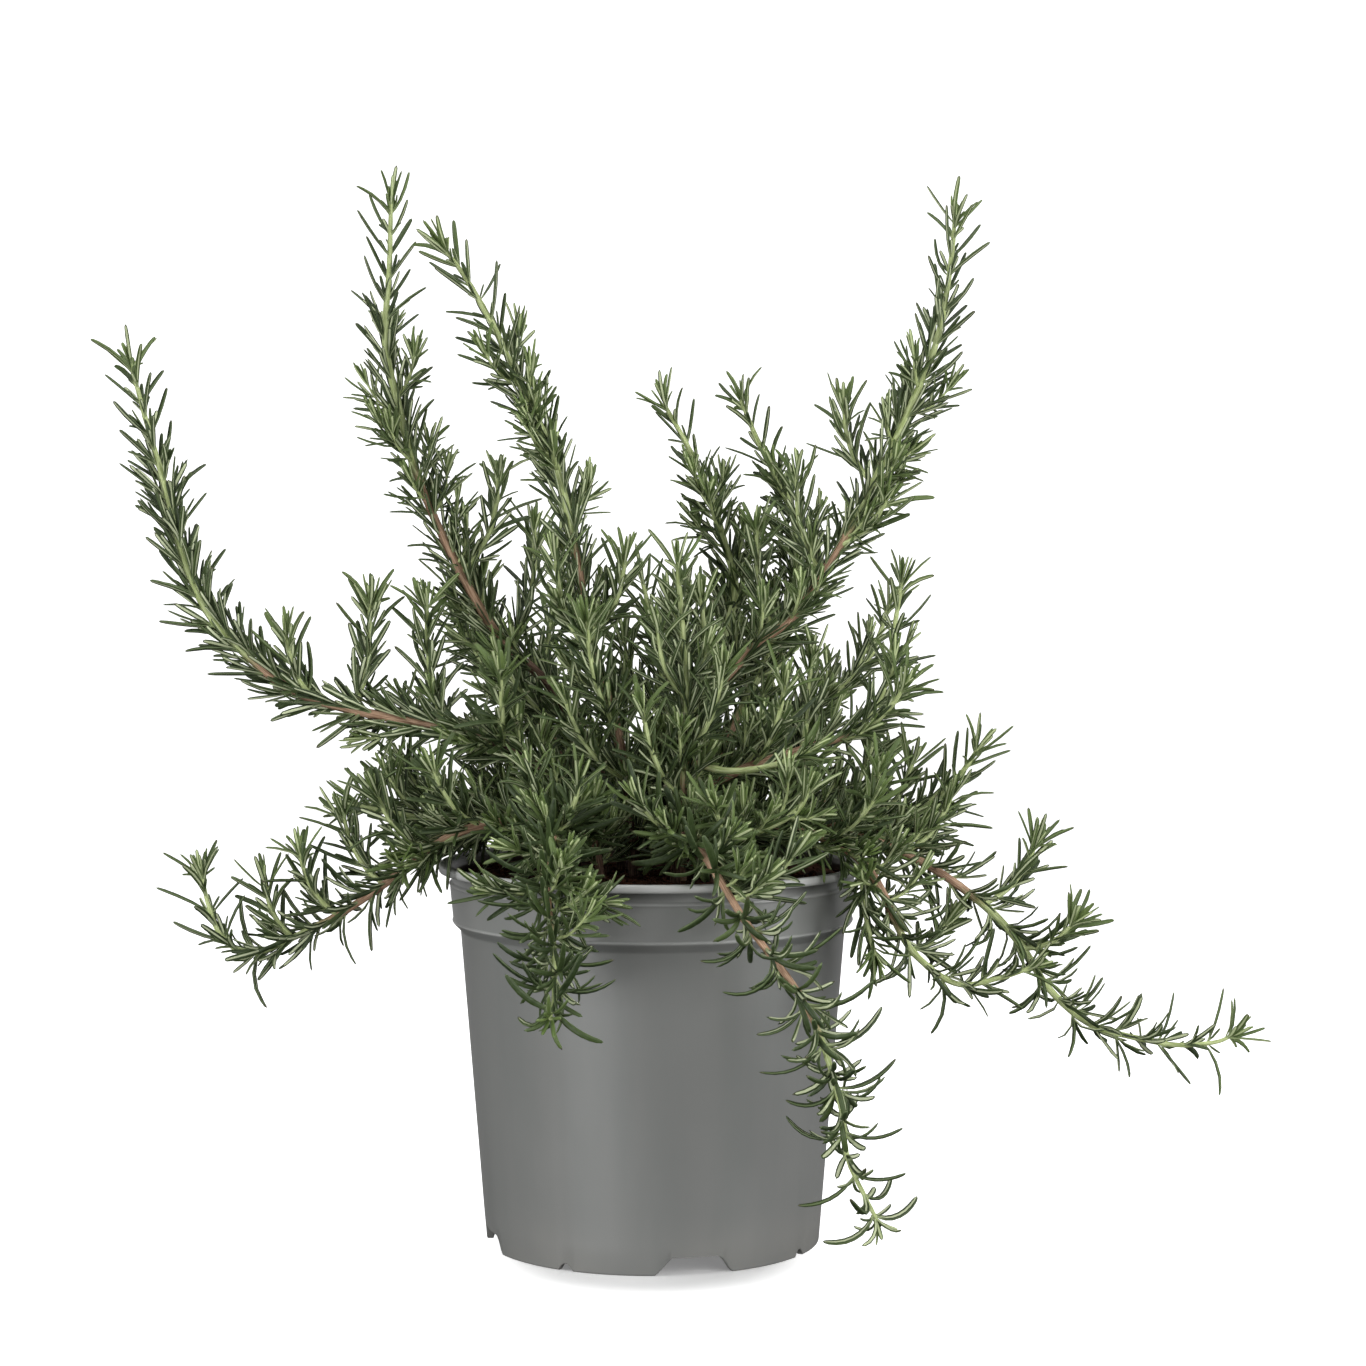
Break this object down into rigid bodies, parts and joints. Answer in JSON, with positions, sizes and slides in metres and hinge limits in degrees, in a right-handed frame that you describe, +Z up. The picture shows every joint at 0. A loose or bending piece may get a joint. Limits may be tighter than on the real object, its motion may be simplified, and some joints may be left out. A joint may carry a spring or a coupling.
{
  "type": "potted rosemary plant",
  "caption": "Rosemary bush with upright, arching and trailing needle-leaved stems, rooted in peat in a round tapered nursery pot.",
  "frame": {"origin": "on the ground under the middle of the plant's outline, which lies 13 mm right of and 7 mm behind the pot's own axis", "axes": "+Z up, +X along the plant's longest spread, -Y towards the front"},
  "size_m": [0.5122, 0.3246, 0.4748],
  "materials": {
    "pot_plastic": "satin",
    "peat": "matte",
    "foliage": "satin"
  },
  "bodies": {
    "root": {"pot": "pot_plastic", "soil": "peat", "stem_left_arch": "foliage", "stem_left_tall": "foliage", "stem_middle_tall": "foliage", "stem_thin_middle": "foliage", "stem_thin_right": "foliage", "stem_right_tall": "foliage", "stem_right_thin": "foliage", "stem_middle_upright": "foliage", "stem_right_rise": "foliage", "stem_right_trail": "foliage", "stem_right_inner_trail": "foliage", "stem_front_right_trail": "foliage", "stem_front_left_trail": "foliage", "stem_left_low": "foliage", "stem_left_middle": "foliage", "stem_front_right_short": "foliage", "stem_back_left": "foliage", "stem_back_middle": "foliage", "stem_back_right": "foliage", "stem_back_trail": "foliage", "stem_back_right_low": "foliage", "stem_back_left_low": "foliage"}
  },
  "joints": []
}
